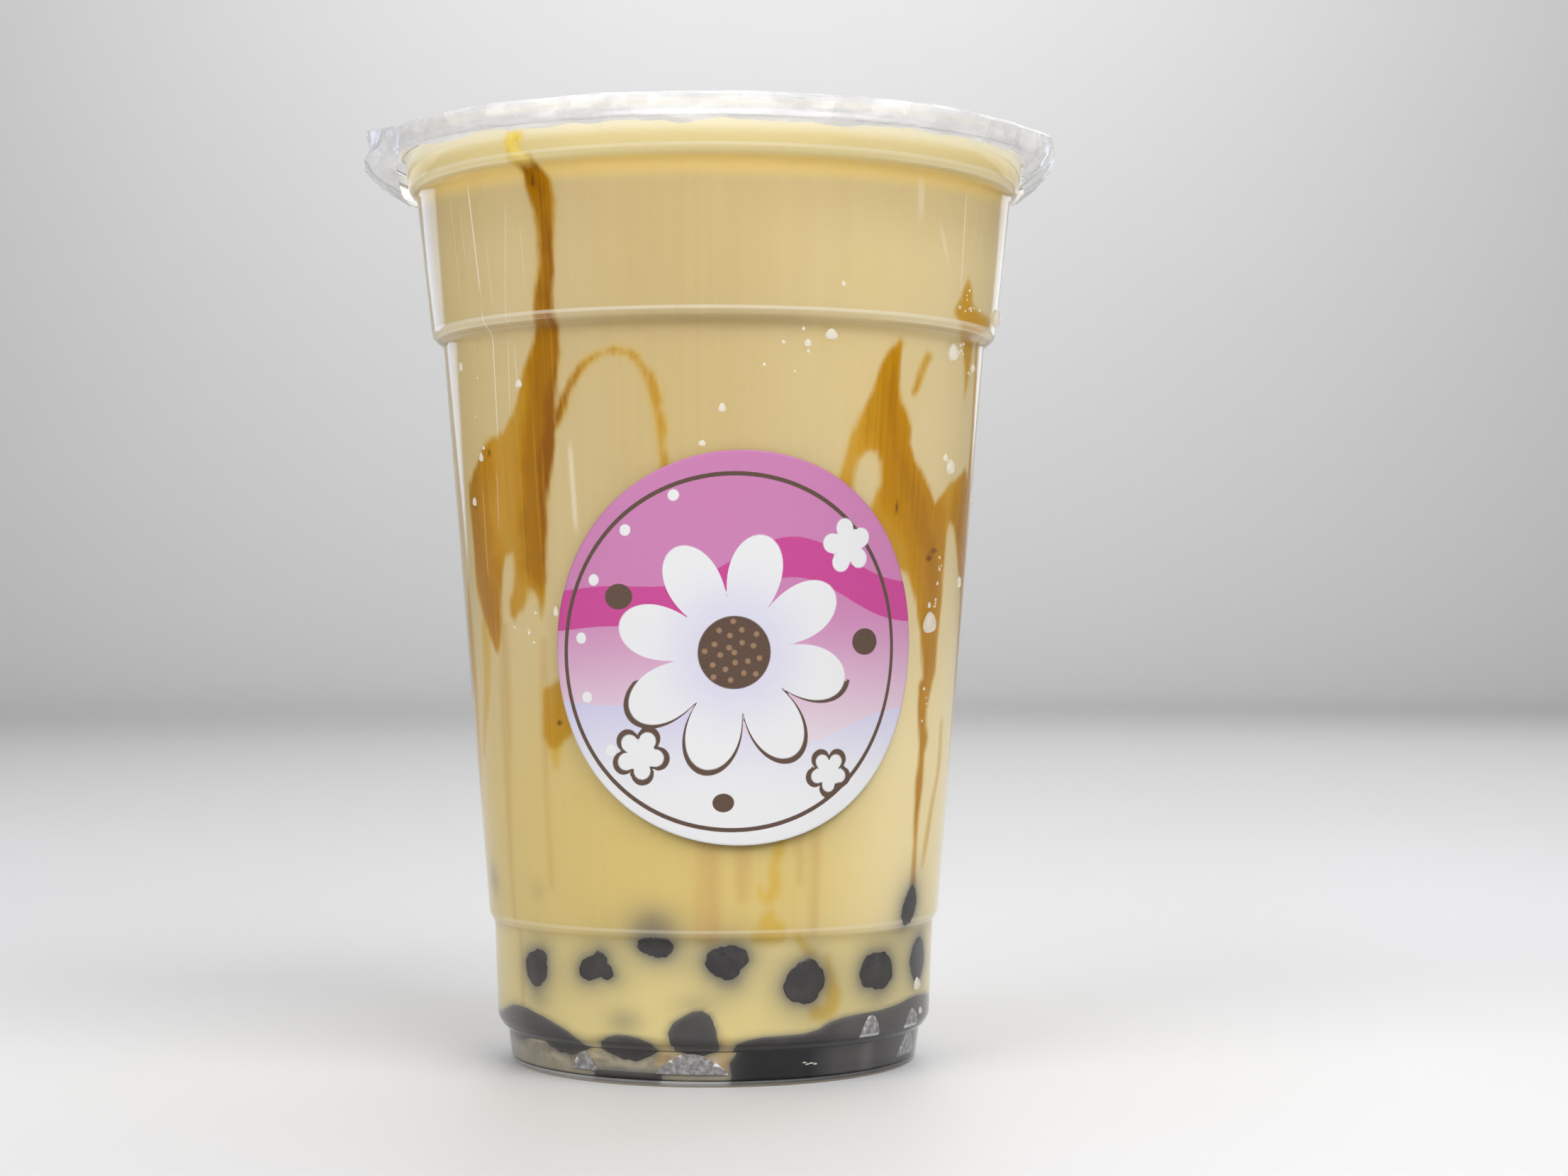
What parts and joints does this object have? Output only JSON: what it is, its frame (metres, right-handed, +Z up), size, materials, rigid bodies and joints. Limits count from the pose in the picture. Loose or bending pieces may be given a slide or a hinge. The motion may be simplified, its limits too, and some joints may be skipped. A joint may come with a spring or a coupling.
{
  "type": "bubble tea",
  "caption": "Milk tea with dark tapioca pearls in a stepped clear plastic cup, sealed with a crinkled clear film, with a round sticker on its front.",
  "frame": {"origin": "centre of the cup's foot, on the surface that it stands on", "axes": "+Z up along the cup's axis; the front, with the sticker a little towards +X, faces -Y"},
  "size_m": [0.0976, 0.0982, 0.1266],
  "materials": {
    "clear_cup": "clear, glossy, thin thermoformed plastic",
    "clear_film": "clear, crinkled sealing film",
    "milk_tea": "opaque tan liquid with amber syrup streaks, seen through the wall",
    "tapioca": "near black, smooth and wet",
    "sticker": "printed paper, satin"
  },
  "bodies": {
    "root": {"cup": "clear_cup", "film": "clear_film", "milk_tea": "milk_tea", "pearl_bed": "tapioca", "label": "sticker", "pearl_01": "tapioca", "pearl_02": "tapioca", "pearl_03": "tapioca", "pearl_04": "tapioca", "pearl_05": "tapioca", "pearl_06": "tapioca", "pearl_07": "tapioca", "pearl_08": "tapioca", "pearl_09": "tapioca", "pearl_10": "tapioca", "pearl_11": "tapioca", "pearl_12": "tapioca", "pearl_13": "tapioca", "pearl_14": "tapioca", "pearl_15": "tapioca", "pearl_16": "tapioca", "pearl_17": "tapioca"}
  },
  "joints": []
}
